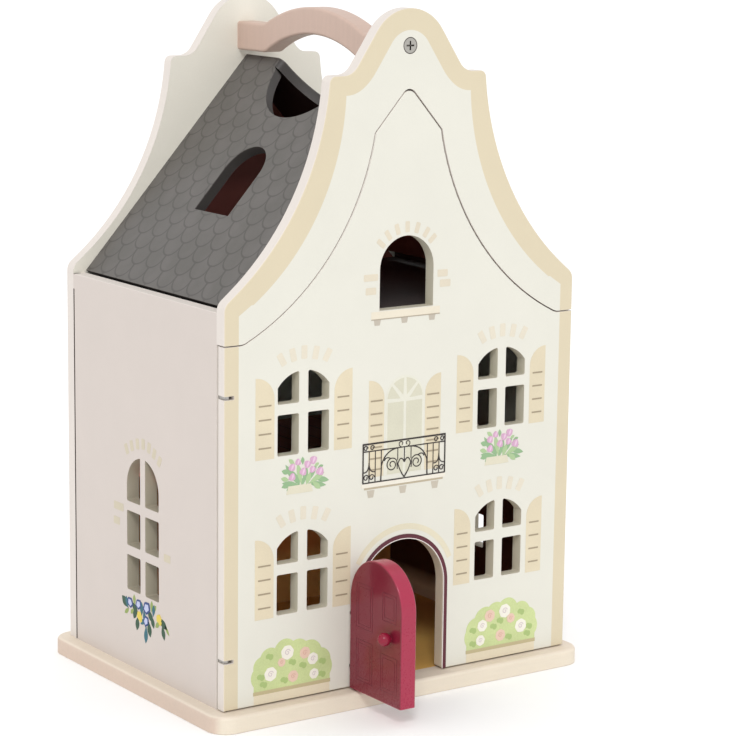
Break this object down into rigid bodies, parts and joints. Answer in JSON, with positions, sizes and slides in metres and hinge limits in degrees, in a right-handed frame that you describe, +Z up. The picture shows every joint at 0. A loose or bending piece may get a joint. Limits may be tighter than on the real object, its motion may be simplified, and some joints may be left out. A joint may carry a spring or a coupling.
{
  "type": "wooden dollhouse",
  "caption": "Wooden toy townhouse with a bell gable, hinged facade, arched entrance door, pitched roof, inner floors and a carrying handle.",
  "frame": {"origin": "centre of the base plate's underside", "axes": "+Z up, the facade faces -Y, +X to the right of someone facing the house"},
  "size_m": [0.29, 0.2683, 0.4433],
  "materials": {
    "base_paint": "satin cream paint",
    "wall_paint": "satin pinkish beige paint",
    "gable_paint": "satin off-white paint",
    "facade_paint": "satin off-white paint with printed decoration",
    "roof_paint": "satin grey-brown paint with printed roof tiles",
    "floor_board": "clear lacquered board",
    "handle_paint": "satin dusty pink paint",
    "door_paint": "glossy dark red paint",
    "knob_paint": "glossy dark red paint, as the door",
    "hinge_steel": "brushed",
    "magnet": "nickel plated",
    "screw_steel": "nickel plated",
    "dowel_wood": "raw beech"
  },
  "bodies": {
    "house": {"base_plate": "base_paint", "left_side_wall": "wall_paint", "right_side_wall": "wall_paint", "back_gable": "gable_paint", "front_gable": "gable_paint", "left_roof_panel": "roof_paint", "right_roof_panel": "roof_paint", "first_floor": "floor_board", "attic_floor": "floor_board", "handle": "handle_paint", "facade_hinge_leaves": "hinge_steel", "catch_magnets": "magnet", "handle_screws": "screw_steel", "base_screws": "screw_steel", "back_dowels": "dowel_wood", "front_dowels": "dowel_wood", "roof_dowels": "dowel_wood", "first_floor_dowels": "dowel_wood", "attic_floor_dowels": "dowel_wood"},
    "facade": {"front_panel": "facade_paint", "facade_hinge_pins": "hinge_steel", "door_hinge_pin": "hinge_steel", "catch_plates": "hinge_steel"},
    "door": {"entrance_door": "door_paint", "door_knob": "knob_paint", "door_hinge_leaves": "hinge_steel"}
  },
  "joints": [
    {"name": "facade_hinge", "type": "hinge", "parent": "house", "child": "facade", "pos_m": [-0.1315, -0.096, 0.011], "axis": [0, 0, -1], "range_deg": [0, 180]},
    {"name": "door_hinge", "type": "hinge", "parent": "facade", "child": "door", "pos_m": [-0.0372, -0.0955, 0.011], "axis": [0, 0, 1], "range_deg": [-8, 90]}
  ]
}
